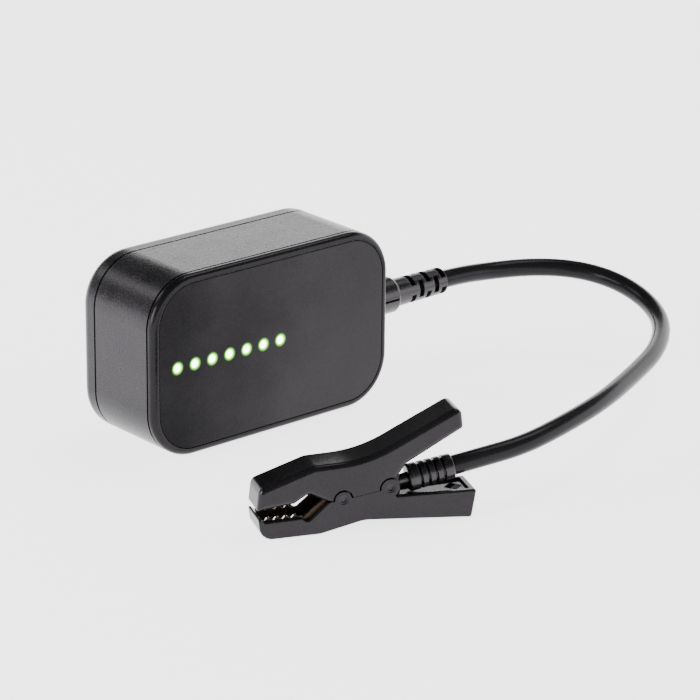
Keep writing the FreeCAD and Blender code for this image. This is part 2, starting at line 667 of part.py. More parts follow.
def lead_tail():
    """The lead's inner end, through the strain relief, with its two cores."""
    jacket = solid("Cylinder", "tail_jacket", (TAIL_START, "relief_y", MIDDLE), TO_SIDE,
                   Radius="lead_diameter / 2", Height="%s - (%s)" % (RELIEF_END, TAIL_START))
    pieces = [jacket]
    core_end = "%s + core_stop" % TERMINAL_X
    for side in (-1, 1):
        near_z = "%s + %s * (lead_diameter / 4)" % (MIDDLE, side)
        far_z = "%s + %s * core_apart" % (MIDDLE, side)
        bend = "%s - core_bend" % TAIL_START
        inner = solid("Cylinder", "core_out_%d" % side, (core_end, "relief_y", far_z), TO_SIDE,
                      Radius="core_radius", Height="%s - (%s)" % (bend, core_end))
        pieces.append(inner)
        start = FreeCAD.Vector(size(bend), size("relief_y"), size(far_z))
        end = FreeCAD.Vector(size(TAIL_START), size("relief_y"), size(near_z))
        link = doc.addObject("Part::Feature", "core_link_%d" % side)
        link.Shape = core_link(start, end, size("core_radius"))
        pieces.append(link)
    return labelled(joined("lead_tail", pieces))


def core_link(start, end, radius):
    """A short core that leans over from the terminal to the jacket, with both ends level."""
    reach = (end.x - start.x) / 3
    first = start + ALONG * reach
    last = end - ALONG * reach
    curve = Part.BezierCurve()
    curve.setPoles([start, first, last, end])
    path = Part.Wire(curve.toShape())
    ring = Part.Wire(Part.makeCircle(radius, start, ALONG))
    return path.makePipeShell([ring], True, False)


SLOT_FLOOR = "lead_diameter / 2"
SLOTS_IN_RING = 3
SLOT_STAGGER = 180 / SLOTS_IN_RING


def strain_relief():
    """A collar and a slotted sleeve, snapped into the box's side wall."""
    body = new_body("strain_relief")
    bore = "lead_diameter / 2 + lead_gap"
    profile = [
        ("-wall - relief_flange_length", bore), ("relief_length", bore),
        ("relief_length", "relief_tip"), ("collar_length", "relief_root"),
        ("collar_length", "collar_radius", "collar_round"), ("0", "collar_radius"),
        ("0", "relief_neck"), ("-wall", "relief_neck"),
        ("-wall", "relief_flange"), ("-wall - relief_flange_length", "relief_flange"),
    ]
    turned(body, "Revolution", outlines(body, XZ, None, profile), "360")
    before = body.Shape.Volume
    for index in range(int(size("slot_rows"))):
        low = "slot_first + %d * slot_step" % index
        high = "%s + slot_width" % low
        ring = outlines(body, XZ, None, [(low, SLOT_FLOOR), (high, SLOT_FLOOR),
                                         (high, "collar_radius"), (low, "collar_radius")])
        lean = size("slot_turn") + (0 if index % 2 else SLOT_STAGGER)
        ring.AttachmentOffset = FreeCAD.Placement(FreeCAD.Vector(), FreeCAD.Rotation(ALONG, 90 + lean))
        slot = turned(body, "Groove", ring, "slot_angle")
        slot.Midplane = True
        pattern = body.newObject("PartDesign::PolarPattern", "slot_ring_%d" % index)
        pattern.Originals = [slot]
        pattern.Axis = (origin_feature(body, "X_Axis"), [""])
        pattern.Angle = 360
        pattern.Occurrences = SLOTS_IN_RING
        body.Tip = pattern
        doc.recompute()
    slit = outlines(body, XZ, "collar_radius - collar_slit_depth / 2", [
        ("slit_start", "-collar_slit / 2"), ("collar_length - collar_round", "-collar_slit / 2"),
        ("collar_length - collar_round", "collar_slit / 2"), ("slit_start", "collar_slit / 2")])
    cut_both_ways(body, slit, "collar_slit_depth")
    if body.Shape.Volume > before:
        raise RuntimeError("the relief's slots took nothing away")
    place = FreeCAD.Vector(size(HALF_WIDTH), size("relief_y"), size(MIDDLE))
    body.Placement = FreeCAD.Placement(place, FreeCAD.Rotation())
    return body


def turned(body, kind, sketch, angle):
    """A Revolution or Groove about the sketch's own X axis."""
    feature = body.newObject("PartDesign::" + kind, body.Name + "_" + kind.lower())
    feature.Profile = sketch
    feature.ReferenceAxis = (sketch, ["H_Axis"])
    bind(feature, Angle=angle)
    doc.recompute()
    return feature


# Clip. Its pieces are drawn in the clip's frame and set down beside the box.

CLIP_TURN = FreeCAD.Rotation(UP, size("clip_turn"))
CLIP = FreeCAD.Placement(FreeCAD.Vector(size("clip_x"), size("clip_y"), 0), CLIP_TURN)
INNER = "clip_width - 2 * clip_wall"
SPLIT_SLOPE = "((pivot_z - rivet_z) / (pivot_x - rivet_x))"
HANDLE_SLOPE = "((tail_z - bend_z) / (tail_x - bend_x))"
# The handle's web measured upright, for each millimetre measured square to it.
HANDLE_LEAN = 1.1
NOSE_SLOPE = "((ridge_z - nose_z) / (ridge_x - nose_x))"
# How far an edge may lie from an outline's corner and still be picked for rounding.
PICK_BAND = 1.0


def on_clip(item):
    item.Placement = CLIP
    return item


def lower_jaw():
    """Lower half: toothed jaw bed, hub with the pin lobes, and a trough-shaped handle."""
    body = new_body("lower_jaw")
    side = [
        ("lip_x", "lip_z", "lip_round"), ("lip_x + lip_length", "bed_z", "bed_round"),
        ("grip_x - grip_run", "bed_z + bed_rise", "bed_round"),
        ("grip_x - grip_foot", "grip_floor", "grip_round"),
        ("apex_x", "apex_z"), ("rivet_x", "rivet_z"), ("pivot_x", "pivot_z"),
        ("pivot_x + handle_root", "handle_start"), ("handle_x", "handle_z", "handle_round"),
        ("foot_x", 0, "foot_corner"), ("arch_x", "arch_z", "arch_radius"), ("foot_end", 0, "arch_radius"),
        ("lip_x + nose_foot", 0, "nose_radius"),
    ]
    extrude("Pad", body, outlines(body, XZ, None, side), "clip_width", both_ways=True)

    def under(edge):
        box = edge.BoundBox
        flat = near(abs(middle_of(edge).y), size("clip_width / 2")) and near(box.YMin, box.YMax)
        low = box.ZMax < size("arch_z") + PICK_BAND
        return flat and low and box.XMax < size("foot_x") + PICK_BAND / 2
    dress("Fillet", body, under, Radius="foot_round")
    lobes = [("rivet_x", "rivet_z", "rivet_lobe"), ("pivot_x", "pivot_z", "pivot_lobe")]
    extrude("Pad", body, circles(body, XZ, None, lobes), "clip_width", both_ways=True)
    sky = "tail_z"
    bed = [
        ("lip_x + clip_web", sky), ("lip_x + clip_web", "floor_z"), ("foot_end", "floor_z"),
        ("arch_x", "arch_z + clip_web"), ("pivot_x + pivot_lobe", "arch_z + clip_web"),
        ("pivot_x + pivot_lobe", "shelf_z"), ("handle_x - clip_web", "shelf_z"),
        ("handle_x - clip_web", sky),
    ]
    cut_both_ways(body, outlines(body, XZ, None, bed), INNER)
    hollow = [
        ("pivot_x + pivot_lobe + clip_web", "-clip_web"), ("handle_x - 2 * clip_web", "-clip_web"),
        ("handle_x - hollow_end", "shelf_z - clip_web"),
        ("pivot_x + pivot_lobe + clip_web", "shelf_z - clip_web"),
    ]
    cut_both_ways(body, outlines(body, XZ, None, hollow), INNER)
    bores = [("rivet_x", "rivet_z", "pin_radius"), ("pivot_x", "pivot_z", "pin_radius")]
    cut_both_ways(body, circles(body, XZ, None, bores), "2 * clip_width")
    diamond = [
        ("diamond_x - diamond_half", 0, "diamond_round"), ("diamond_x", "-diamond_half", "diamond_round"),
        ("diamond_x + diamond_half", 0, "diamond_round"), ("diamond_x", "diamond_half", "diamond_round"),
    ]
    cut_both_ways(body, outlines(body, XY, "shelf_z - clip_web / 2", diamond), "2 * clip_web")
    return on_clip(body)


def upper_jaw():
    """Upper half: hooded jaw, hub walls cut clear of the pin lobes, hinge ears and a hollow handle."""
    body = new_body("upper_jaw")
    side = [
        ("nose_x", "mouth_z - mouth_drop", "mouth_round"),
        ("grip_x - hood_run", "mouth_z + hood_rise", "hood_round"),
        ("grip_x", "grip_top", "grip_top_round"),
        ("apex_x", "apex_z + split_gap"), ("rivet_x", "rivet_z + split_gap"),
        ("pivot_x", "pivot_z + split_gap"), ("pivot_x + shoulder_x", "pivot_z + shoulder_z"),
        ("throat_x", "throat_z", "throat_round"),
        ("tail_x + tail_lean", "tail_z - tail_drop", "tail_round"),
        ("tail_x", "tail_z", "crown_corner"), ("bend_x", "bend_z", "bend_radius"),
        ("ridge_x", "ridge_z", "ridge_round"), ("nose_x + nose_lean", "nose_z", "crown_corner"),
    ]
    extrude("Pad", body, outlines(body, XZ, None, side), "clip_width", both_ways=True)

    def crown(edge):
        box = edge.BoundBox
        flat = near(abs(middle_of(edge).y), size("clip_width / 2")) and near(box.YMin, box.YMax)
        return flat and box.ZMax > size("nose_z") - 2 * PICK_BAND and above_crown(middle_of(edge))
    dress("Fillet", body, crown, Radius="jaw_round")
    over = "(clip_web + hood_extra)"
    inside = [
        ("nose_x + clip_web", "-clip_web"), ("nose_x + clip_web", "nose_z - clip_web + hood_lift"),
        ("ridge_x + ridge_shift", "ridge_z - %s" % over), ("bend_x", "bend_z - %s" % over),
        ("tail_x - clip_web", "tail_z - clip_web * %s - %s * %s" % (HANDLE_SLOPE, HANDLE_LEAN, over)),
        ("tail_x - clip_web", "-clip_web"),
    ]
    cut_both_ways(body, outlines(body, XZ, None, inside), INNER)
    clear = [("rivet_x", "rivet_z", "rivet_lobe + lobe_gap"),
             ("pivot_x", "pivot_z", "pivot_lobe + lobe_gap")]
    cut_both_ways(body, circles(body, XZ, None, clear), "2 * clip_width")
    for way in (-1, 1):
        hinge_ear(body, way)
    bore = circles(body, XZ, None, [("pivot_x", "pivot_z", "pin_radius + pin_gap")])
    cut_both_ways(body, bore, "2 * clip_width")
    return on_clip(body)


def above_crown(place):
    """True over the line that runs under the upper half's crown."""
    band = 3 * PICK_BAND
    if place.x < size("bend_x"):
        line = size("nose_z + (%r - nose_x) * %s" % (place.x, NOSE_SLOPE))
        return place.z > line - band or place.z > size("ridge_z") - PICK_BAND
    return place.z > size("bend_z + (%r - bend_x) * %s" % (place.x, HANDLE_SLOPE)) - band


def hinge_ear(body, way):
    """One hinge ear inside the lower half's wall, hung from the upper half's wall and web."""
    top = "bend_z - clip_web / 2"
    left = "pivot_x - ear_half"
    right = "pivot_x + ear_half"
    rise = "%s + ear_half * %s" % (top, HANDLE_SLOPE)
    face = "clip_width / 2 - clip_wall - ear_gap"
    plane = "%s * (%s - ear_thickness / 2)" % (way, face)
    neck = [(left, "pivot_z"), (right, "pivot_z"), (right, rise), (left, top)]
    extrude("Pad", body, outlines(body, XZ, plane, neck), "ear_thickness", both_ways=True)
    eye = circles(body, XZ, plane, [("pivot_x", "pivot_z", "ear_radius")])
    extrude("Pad", body, eye, "ear_thickness", both_ways=True)
    low = "pivot_z + pivot_lobe + lobe_gap + ear_gap"
    inner = "pivot_x + ear_root"
    root = [(left, low), (inner, low), (inner, "throat_z + ear_half * %s" % HANDLE_SLOPE), (left, top)]
    outer = "%s * (%s + ear_gap - ear_thickness / 2)" % (way, face)
    extrude("Pad", body, outlines(body, XZ, outer, root), "ear_thickness + ear_overlap", both_ways=True)


def cross_pin(label, x, z):
    """A pin with hollow ends, let into the lower half's lobes."""
    half = "(clip_width / 2 - pin_sink)"
    pin = solid("Cylinder", label + "_rod", (x, minus(half), z), TO_BACK,
                Radius="pin_radius - pin_gap / 2", Height="2 * %s" % half)
    ends = [solid("Cylinder", "%s_end_%d" % (label, i), (x, start, z), TO_BACK,
                  Radius="pin_hollow", Height="2 * pin_hollow_depth")
            for i, start in enumerate(("-%s - pin_hollow_depth" % half, "%s - pin_hollow_depth" % half))]
    return on_clip(labelled(without(label, pin, joined(label + "_ends", ends))))


FLOOR_SLOPE = "((arch_z + clip_web - floor_z) / (arch_x - foot_end))"
CONTACT_REAR_Z = "floor_z + contact_gap + (contact_rear - foot_end) * %s" % FLOOR_SLOPE
# Where a tooth starts, peaks and ends, as shares of the pitch.
TOOTH_SHARES = (0.1, 0.5, 0.9)


def lower_contact():
    """A sheet-metal channel in the lower jaw with teeth on both long edges."""
    body = new_body("lower_contact")
    width = "%s - 2 * contact_gap" % INNER
    start = "lip_x + clip_web + contact_gap"
    end = "grip_x - grip_run - tooth_margin"
    pitch = "((%s) - (%s)) / tooth_count" % (end, start)
    base = "floor_z + contact_gap"
    over_rivet = "rivet_z + pin_radius + contact_sheet"
    profile = [
        (start, base), ("foot_end", base), ("contact_rear", CONTACT_REAR_Z), ("contact_rear", over_rivet),
        ("rivet_x - pin_radius - contact_sheet", over_rivet),
        ("apex_x - contact_sheet", "apex_z + contact_sheet"), ("grip_x - tooth_ramp", "tooth_z"),
    ]
    count = int(size("tooth_count"))
    for index in reversed(range(count)):
        left = "%s + %d * %s" % (start, index, pitch)
        first, top, last = ["%s + %s * %s" % (left, share, pitch) for share in TOOTH_SHARES]
        profile.append((last, "tooth_z"))
        profile.append((top, "tooth_z + tooth_height", "tooth_round"))
        profile.append((first, "tooth_z"))
    profile.append((start, "tooth_z"))
    extrude("Pad", body, outlines(body, XZ, None, profile), width, both_ways=True)
    floor = "%s + contact_sheet" % base
    rear_floor = "%s + contact_sheet" % CONTACT_REAR_Z
    trough = [("lip_x", floor), ("foot_end", floor), ("contact_rear", rear_floor), ("arch_x", rear_floor),
              ("arch_x", "tail_z"), ("lip_x", "tail_z")]
    cut_both_ways(body, outlines(body, XZ, None, trough), "%s - 2 * contact_sheet" % width)
    bore = circles(body, XZ, None, [("rivet_x", "rivet_z", "pin_radius + pin_gap")])
    cut_both_ways(body, bore, "2 * clip_width")
    return on_clip(body)


def upper_contact():
    """A plain liner under the upper jaw's hood, with a strip back to the spring."""
    body = new_body("upper_contact")
    width = "%s - 2 * contact_gap" % INNER
    over = "(clip_web + hood_extra + contact_gap)"
    front = "nose_x + clip_web + contact_gap"
    front_top = "nose_z - clip_web + hood_lift - contact_gap"
    roof = "ridge_z - %s" % over
    ridge = "ridge_x + ridge_shift"
    rear = "grip_x + liner_rear"
    liner = [
        (front, "mouth_z + liner_inset"), ("grip_x - hood_run", "mouth_z + hood_rise + liner_hood"),
        ("grip_x", "grip_top + liner_inset"), (rear, "grip_top - liner_lip"), (rear, roof), (ridge, roof),
        (front, front_top),
    ]
    extrude("Pad", body, outlines(body, XZ, None, liner), width, both_ways=True)
    under_roof = "%s - contact_sheet" % roof
    under_front = "%s - contact_sheet" % front_top
    inner = [("nose_x", "mouth_z"), ("bend_x", "mouth_z"), ("bend_x", under_roof), (ridge, under_roof),
             (front, under_front), ("nose_x", under_front)]
    cut_both_ways(body, outlines(body, XZ, None, inner), "%s - 2 * contact_sheet" % width)
    bend_roof = "bend_z - %s" % over
    end = "throat_x + strip_rear"
    end_roof = "%s + (%s - bend_x) * %s - strip_drop" % (bend_roof, end, HANDLE_SLOPE)
    strip = [
        ("ridge_x", under_roof), ("bend_x", "%s - contact_sheet" % bend_roof),
        (end, "%s - contact_sheet" % end_roof), (end, end_roof), ("bend_x", bend_roof), ("ridge_x", roof),
    ]
    extrude("Pad", body, outlines(body, XZ, None, strip), "4 * strip_half", both_ways=True)
    return on_clip(body)


def crimp_terminal():
    """The strip from the lower contact to the lead's crimped end."""
    body = new_body("crimp_terminal")
    hub = "arch_z + clip_web + contact_gap"
    lower = [("foot_end", "floor_z + contact_gap + contact_sheet"),
             ("contact_rear", "%s + contact_sheet" % CONTACT_REAR_Z), ("arch_x", hub)]
    shelf = "shelf_z + contact_gap"
    step = "pivot_x + pivot_lobe - contact_gap"
    stop = "sleeve_x - barrel_length"
    back = "%s + contact_sheet" % stop
    front = "%s - contact_sheet" % step
    upper = [(x, "%s + contact_sheet" % z) for x, z in reversed(lower)]
    profile = lower + [
        (step, hub), (step, shelf), (back, shelf), (back, "sleeve_z"), (stop, "sleeve_z"),
        (stop, "%s + contact_sheet" % shelf), (front, "%s + contact_sheet" % shelf),
        (front, "%s + contact_sheet" % hub),
    ] + upper
    extrude("Pad", body, outlines(body, XZ, None, profile), "2 * strip_half", both_ways=True)
    barrel = circles(body, YZ, stop, [("0", "sleeve_z", "barrel_radius")])
    extrude("Pad", body, barrel, "barrel_length - contact_gap - barrel_radius * tan(sleeve_tilt)")
    return on_clip(body)


SLEEVE = CLIP.multiply(FreeCAD.Placement(FreeCAD.Vector(size("sleeve_x"), 0, size("sleeve_z")),
                                         FreeCAD.Rotation(ACROSS, -size("sleeve_tilt"))))


def clip_sleeve():
    """A ribbed boot on the lead's end: collar, ring grooves and a plain tapered end."""
    body = new_body("clip_sleeve")
    bore = "lead_diameter / 2 + lead_gap"
    profile = [("0", bore), ("0", "sleeve_radius", "sleeve_round")]
    place = "sleeve_collar"
    for _ in range(int(size("groove_count"))):
        profile.append((place, "sleeve_radius - sleeve_taper * %s" % place))
        profile.append((place, "sleeve_radius - sleeve_depth"))
        profile.append(("%s + sleeve_groove" % place, "sleeve_radius - sleeve_depth"))
        profile.append(("%s + sleeve_groove" % place, "sleeve_radius - sleeve_taper * %s" % place))
        place = "(%s + sleeve_groove + sleeve_rib)" % place
    profile.append(("sleeve_length", "sleeve_end", "sleeve_end_round"))
    profile.append(("sleeve_length", bore))
    turned(body, "Revolution", outlines(body, XZ, None, profile), "360")
    body.Placement = SLEEVE
    return body


def lead_end():
    """The lead's outer end inside the sleeve."""
    jacket = solid("Cylinder", "lead_end", Radius="lead_diameter / 2", Height="sleeve_length")
    jacket.Placement = SLEEVE.multiply(FreeCAD.Placement(FreeCAD.Vector(), FreeCAD.Rotation(*TO_SIDE)))
    return labelled(jacket)


def pipe(path, radius):
    """A round tube along a wire, compared with its section times its length."""
    start = path.Edges[0].valueAt(path.Edges[0].FirstParameter)
    ahead = path.Edges[0].tangentAt(path.Edges[0].FirstParameter)
    ring = Part.Wire(Part.makeCircle(radius, start, ahead))
    tube = path.makePipeShell([ring], True, False)
    whole = math.pi * radius ** 2 * path.Length
    print("tube volume %.1f, section times length %.1f" % (tube.Volume, whole))
    if abs(tube.Volume - whole) > 0.01 * whole:
        raise RuntimeError("a tube's volume is off")
    return tube


def heading(degrees):
    """A direction in the clip's upright plane."""
    return FreeCAD.Vector(math.cos(math.radians(degrees)), 0, math.sin(math.radians(degrees)))


LOWER_LEAN = 15.0
UPPER_RISE = 60.0
UPPER_LEG = "(throat_z - pivot_z) * 1.5"


def jaw_spring():
    """A torsion spring round the pivot pin: both legs press towards the handles."""
    radius = size("coil_radius")
    start_angle = -90.0 - LOWER_LEAN
    end_angle = 90.0 + UPPER_RISE
    sweep = 360.0 * size("coil_turns") + (start_angle - end_angle) % 360.0
    centre = FreeCAD.Vector(size("pivot_x"), 0, size("pivot_z"))

    def helix(fraction):
        angle = math.radians(start_angle - sweep * fraction)
        across = size("coil_half") * (1 - 2 * fraction)
        return centre + FreeCAD.Vector(radius * math.cos(angle), across, radius * math.sin(angle))

    steps = 2 * math.ceil(sweep / 90)
    points = [helix(i / (2.0 * steps)) for i in range(2 * steps + 1)]
    lower_end = points[0] + heading(-LOWER_LEAN) * size("lower_leg")
    upper_end = points[-1] + heading(UPPER_RISE) * size(UPPER_LEG)
    edges = [Part.LineSegment(lower_end, points[0]).toShape()]
    for index in range(steps):
        edges.append(Part.Arc(*points[2 * index:2 * index + 3]).toShape())
    edges.append(Part.LineSegment(points[-1], upper_end).toShape())
    spring = doc.addObject("Part::Feature", "jaw_spring")
    spring.Shape = pipe(Part.Wire(edges), size("wire_radius"))
    turns = sweep / 360.0
    gap = 2 * size("coil_half") / turns - 2 * size("wire_radius")
    print("spring turns %.2f, gap between turns %.2f" % (turns, gap))
    return on_clip(labelled(spring))


# The free lead, from the strain relief round to the clip's sleeve. Its middle points are placed by hand.

ROUTE_MIDDLE = [
    (107, -7, 29), (120.5, -12, 28.8), (130.5, -20.5, 28.5), (136.5, -31, 27.4), (138.5, -42.5, 25.6),
    (136.5, -55.5, 23.2), (129, -68.5, 21), (112, -82.5, 20), (90, -93.5, 20), (64.5, -105, 20.3),
    (41.5, -110.5, 19.5), (23, -112.2, 18),
]
EXIT_RUN = 8.7
CORNER_SHARE = 0.45


def lead_route():
    start = FreeCAD.Vector(size(RELIEF_END), size("relief_y"), size(MIDDLE))
    end = SLEEVE.multVec(FreeCAD.Vector(size("sleeve_length"), 0, 0))
    out = SLEEVE.Rotation.multVec(ALONG)
    middle = [FreeCAD.Vector(*point) for point in ROUTE_MIDDLE]
    return [start, start + ALONG * EXIT_RUN] + middle + [end + out * EXIT_RUN, end]


def test_lead():
    """Straight runs joined by arcs as large as the runs allow."""
    route = lead_route()
    edges = []
    here = route[0]
    for before, corner, after in zip(route, route[1:], route[2:]):
        back = (before - corner).normalize()
        ahead = (after - corner).normalize()
        shorter = min(before.distanceToPoint(corner), after.distanceToPoint(corner))
        half_turn = (math.pi - back.getAngle(ahead)) / 2
        reach = CORNER_SHARE * shorter
        radius = reach / math.tan(half_turn)
        print("lead corner radius %.1f, turn %.1f" % (radius, math.degrees(2 * half_turn)))
        first = corner + back * reach
        last = corner + ahead * reach
        middle = corner + (back + ahead).normalize() * (radius / math.cos(half_turn) - radius)
        edges.append(Part.LineSegment(here, first).toShape())
        edges.append(Part.Arc(first, middle, last).toShape())
        here = last
    edges.append(Part.LineSegment(here, route[-1]).toShape())
    path = Part.Wire(edges)
    lead = doc.addObject("Part::Feature", "test_lead")
    lead.Shape = pipe(path, size("lead_diameter / 2"))
    print("lead length %.1f" % path.Length)
    return labelled(lead)


PIECES = [
    housing_body(), front_frame(), face_panel(), rear_cover(), case_screws(),
    circuit_board(), board_screws(), indicator_leds(), led_holder(), control_chip(), voltage_regulator(),
    capacitors(), resistors(), protection_diode(), load_resistor(), wire_terminal(),
    strain_relief(), lead_tail(), test_lead(), clip_sleeve(), lead_end(),
    lower_jaw(), upper_jaw(), lower_contact(), upper_contact(), crimp_terminal(),
    cross_pin("pivot_pin", "pivot_x", "pivot_z"), cross_pin("contact_rivet", "rivet_x", "rivet_z"),
    jaw_spring(),
]


def main():
    doc.recompute()
    for item in doc.Objects:
        if "Invalid" in item.State or "Error" in item.State:
            raise RuntimeError("%s failed: %s" % (item.Label, item.State))
    for piece in PIECES:
        if piece.Shape.isNull() or not piece.Shape.isValid():
            raise RuntimeError(piece.Label + " has no valid shape")
    os.makedirs("parts", exist_ok=True)
    for piece in PIECES:
        piece.Shape.exportStep(os.path.join("parts", piece.Label + ".step"))
        print("%-20s solids %2d volume %9.1f" % (piece.Label, len(piece.Shape.Solids), piece.Shape.Volume))


main()
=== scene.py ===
import json
import math

import bpy
from mathutils import Matrix, Vector


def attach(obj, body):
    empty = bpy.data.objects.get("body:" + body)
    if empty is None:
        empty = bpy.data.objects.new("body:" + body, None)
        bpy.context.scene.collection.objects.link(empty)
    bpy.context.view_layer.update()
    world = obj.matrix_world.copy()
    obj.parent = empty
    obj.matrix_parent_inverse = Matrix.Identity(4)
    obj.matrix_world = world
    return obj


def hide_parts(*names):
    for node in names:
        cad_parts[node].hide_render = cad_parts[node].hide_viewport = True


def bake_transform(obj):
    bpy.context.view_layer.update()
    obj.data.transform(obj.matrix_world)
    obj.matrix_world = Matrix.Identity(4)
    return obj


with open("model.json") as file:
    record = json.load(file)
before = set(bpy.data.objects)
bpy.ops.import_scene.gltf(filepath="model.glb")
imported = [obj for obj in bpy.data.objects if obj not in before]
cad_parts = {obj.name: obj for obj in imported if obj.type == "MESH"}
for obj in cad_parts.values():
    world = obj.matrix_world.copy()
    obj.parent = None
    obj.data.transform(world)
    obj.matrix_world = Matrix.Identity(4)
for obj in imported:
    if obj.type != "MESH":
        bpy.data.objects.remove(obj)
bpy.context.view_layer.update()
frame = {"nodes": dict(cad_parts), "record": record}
nodes = frame["nodes"]
scene = bpy.context.scene

UP = Vector((0, 0, 1))


def placed(name, data):
    """A new object for that data, in the scene."""
    thing = bpy.data.objects.new(name, data)
    scene.collection.objects.link(thing)
    return thing


# Camera: fitted to the box's edges in the photograph.

AZIMUTH, ELEVATION, ROLL = math.radians(-40.889), math.radians(20.153), math.radians(0.569)
CAMERA_AT = Vector((-0.646267, -0.803013, 0.401065))
FOCAL_LENGTH, SENSOR_WIDTH = 172.389, 36.0
NEAREST, FARTHEST = 0.01, 50.0


def set_camera():
    level = math.cos(ELEVATION)
    back = Vector((math.sin(AZIMUTH) * level, -math.cos(AZIMUTH) * level, math.sin(ELEVATION)))
    right = (-back).cross(UP).normalized()
    up = right.cross(-back)
    across = right * math.cos(ROLL) + up * math.sin(ROLL)
    above = up * math.cos(ROLL) - right * math.sin(ROLL)
    data = bpy.data.cameras.new("camera")
    data.lens = FOCAL_LENGTH
    data.sensor_width = SENSOR_WIDTH
    data.clip_start = NEAREST
    data.clip_end = FARTHEST
    data.dof.use_dof = False
    camera = placed("camera", data)
    turn = Matrix((across, above, back)).transposed().to_4x4()
    camera.matrix_world = Matrix.Translation(CAMERA_AT) @ turn
    scene.camera = camera


set_camera()


# Material nodes. The Mix node's colours are its sockets with these numbers.

MIX_FIRST, MIX_SECOND, MIX_RESULT = 6, 7, 2
NOISE_LOW, NOISE_HIGH = 0.3, 0.7
EDGE_NONE, EDGE_FULL = 0.99, 0.75
GAP_NONE, GAP_FULL = 0.75, 0.35
EDGE_SAMPLES, GAP_SAMPLES = 4, 8


class Shader:
    """A material's node tree, with short calls for the nodes used here."""

    def __init__(self, name):
        self.material = bpy.data.materials.new(name)
        self.material.use_nodes = True
        self.tree = self.material.node_tree
        self.surface = self.tree.nodes["Principled BSDF"]
        self.place = self.add("ShaderNodeTexCoord").outputs["Object"]

    def add(self, kind, **settings):
        node = self.tree.nodes.new(kind)
        for key, value in settings.items():
            setattr(node, key, value)
        return node

    def put(self, socket, value):
        """Link an output, or set a constant on the socket itself."""
        if isinstance(value, bpy.types.NodeSocket):
            self.tree.links.new(value, socket)
        else:
            socket.default_value = value

    def math(self, operation, *values):
        node = self.add("ShaderNodeMath", operation=operation)
        for socket, value in zip(node.inputs, values):
            self.put(socket, value)
        return node.outputs[0]

    def dot(self, first, second):
        node = self.add("ShaderNodeVectorMath", operation="DOT_PRODUCT")
        self.put(node.inputs[0], first)
        self.put(node.inputs[1], second)
        return node.outputs["Value"]

    def axis(self, vector, name):
        """One coordinate of a vector: X, Y or Z."""
        node = self.add("ShaderNodeSeparateXYZ")
        self.put(node.inputs["Vector"], vector)
        return node.outputs[name]

    def normal(self):
        """The face's own direction."""
        return self.add("ShaderNodeNewGeometry").outputs["Normal"]

    def noise(self, size, detail=3.0, rough=0.55, stretch=None):
        """Noise of about that feature size, in metres."""
        node = self.add("ShaderNodeTexNoise")
        node.inputs["Scale"].default_value = 1.0 / size
        node.inputs["Detail"].default_value = detail
        node.inputs["Roughness"].default_value = rough
        place = self.place
        if stretch:
            mapping = self.add("ShaderNodeMapping")
            mapping.inputs["Scale"].default_value = stretch
            self.put(mapping.inputs["Vector"], place)
            place = mapping.outputs["Vector"]
        self.put(node.inputs["Vector"], place)
        return node.outputs["Fac"]

    def span(self, value, low, high, to_low, to_high):
        """Carry a value from one range to another, and hold it at the ends."""
        node = self.add("ShaderNodeMapRange")
        limits = {"From Min": low, "From Max": high, "To Min": to_low, "To Max": to_high}
        for name, number in limits.items():
            self.put(node.inputs[name], number)
        self.put(node.inputs["Value"], value)
        return node.outputs["Result"]

    def spread(self, noise, low, high):
        """Carry noise from its usual range to this one."""
        return self.span(noise, NOISE_LOW, NOISE_HIGH, low, high)

    def fade(self, share, first, second):
        """From the first number to the second as the share goes from 0 to 1."""
        return self.span(share, 0.0, 1.0, first, second)

    def mix(self, factor, first, second):
        node = self.add("ShaderNodeMix", data_type="RGBA")
        self.put(node.inputs["Factor"], factor)
        self.put(node.inputs[MIX_FIRST], first)
        self.put(node.inputs[MIX_SECOND], second)
        return node.outputs[MIX_RESULT]

    def bevel(self, radius):
        node = self.add("ShaderNodeBevel", samples=EDGE_SAMPLES)
        node.inputs["Radius"].default_value = radius
        return node.outputs["Normal"]

    def edge(self, bevel):
        """Near 1 on a sharp edge, 0 on a face."""
        return self.span(self.dot(bevel, self.normal()), EDGE_NONE, EDGE_FULL, 0.0, 1.0)

    def crevice_shade(self, reach):
        """Near 1 deep in a gap of about that width, 0 on an open face: the mask for shade painted in
        crevices.
        """
        node = self.add("ShaderNodeAmbientOcclusion", samples=GAP_SAMPLES)
        node.inputs["Distance"].default_value = reach
        return self.span(node.outputs["AO"], GAP_NONE, GAP_FULL, 0.0, 1.0)

    def bump(self, height, depth, strength, normal):
        node = self.add("ShaderNodeBump")
        node.inputs["Distance"].default_value = depth
        node.inputs["Strength"].default_value = strength
        self.put(node.inputs["Height"], height)
        self.put(node.inputs["Normal"], normal)
        return node.outputs["Normal"]

    def finish(self, **inputs):
        for name, value in inputs.items():
            self.put(self.surface.inputs[name.replace("_", " ")], value)
        return self.material


def rgb(red, green, blue):
    return (red, green, blue, 1.0)


def scaled(colour, factor, lift=0.0):
    return rgb(*[min(1.0, c * factor + lift) for c in colour])


# Moulded plastic and plated metal

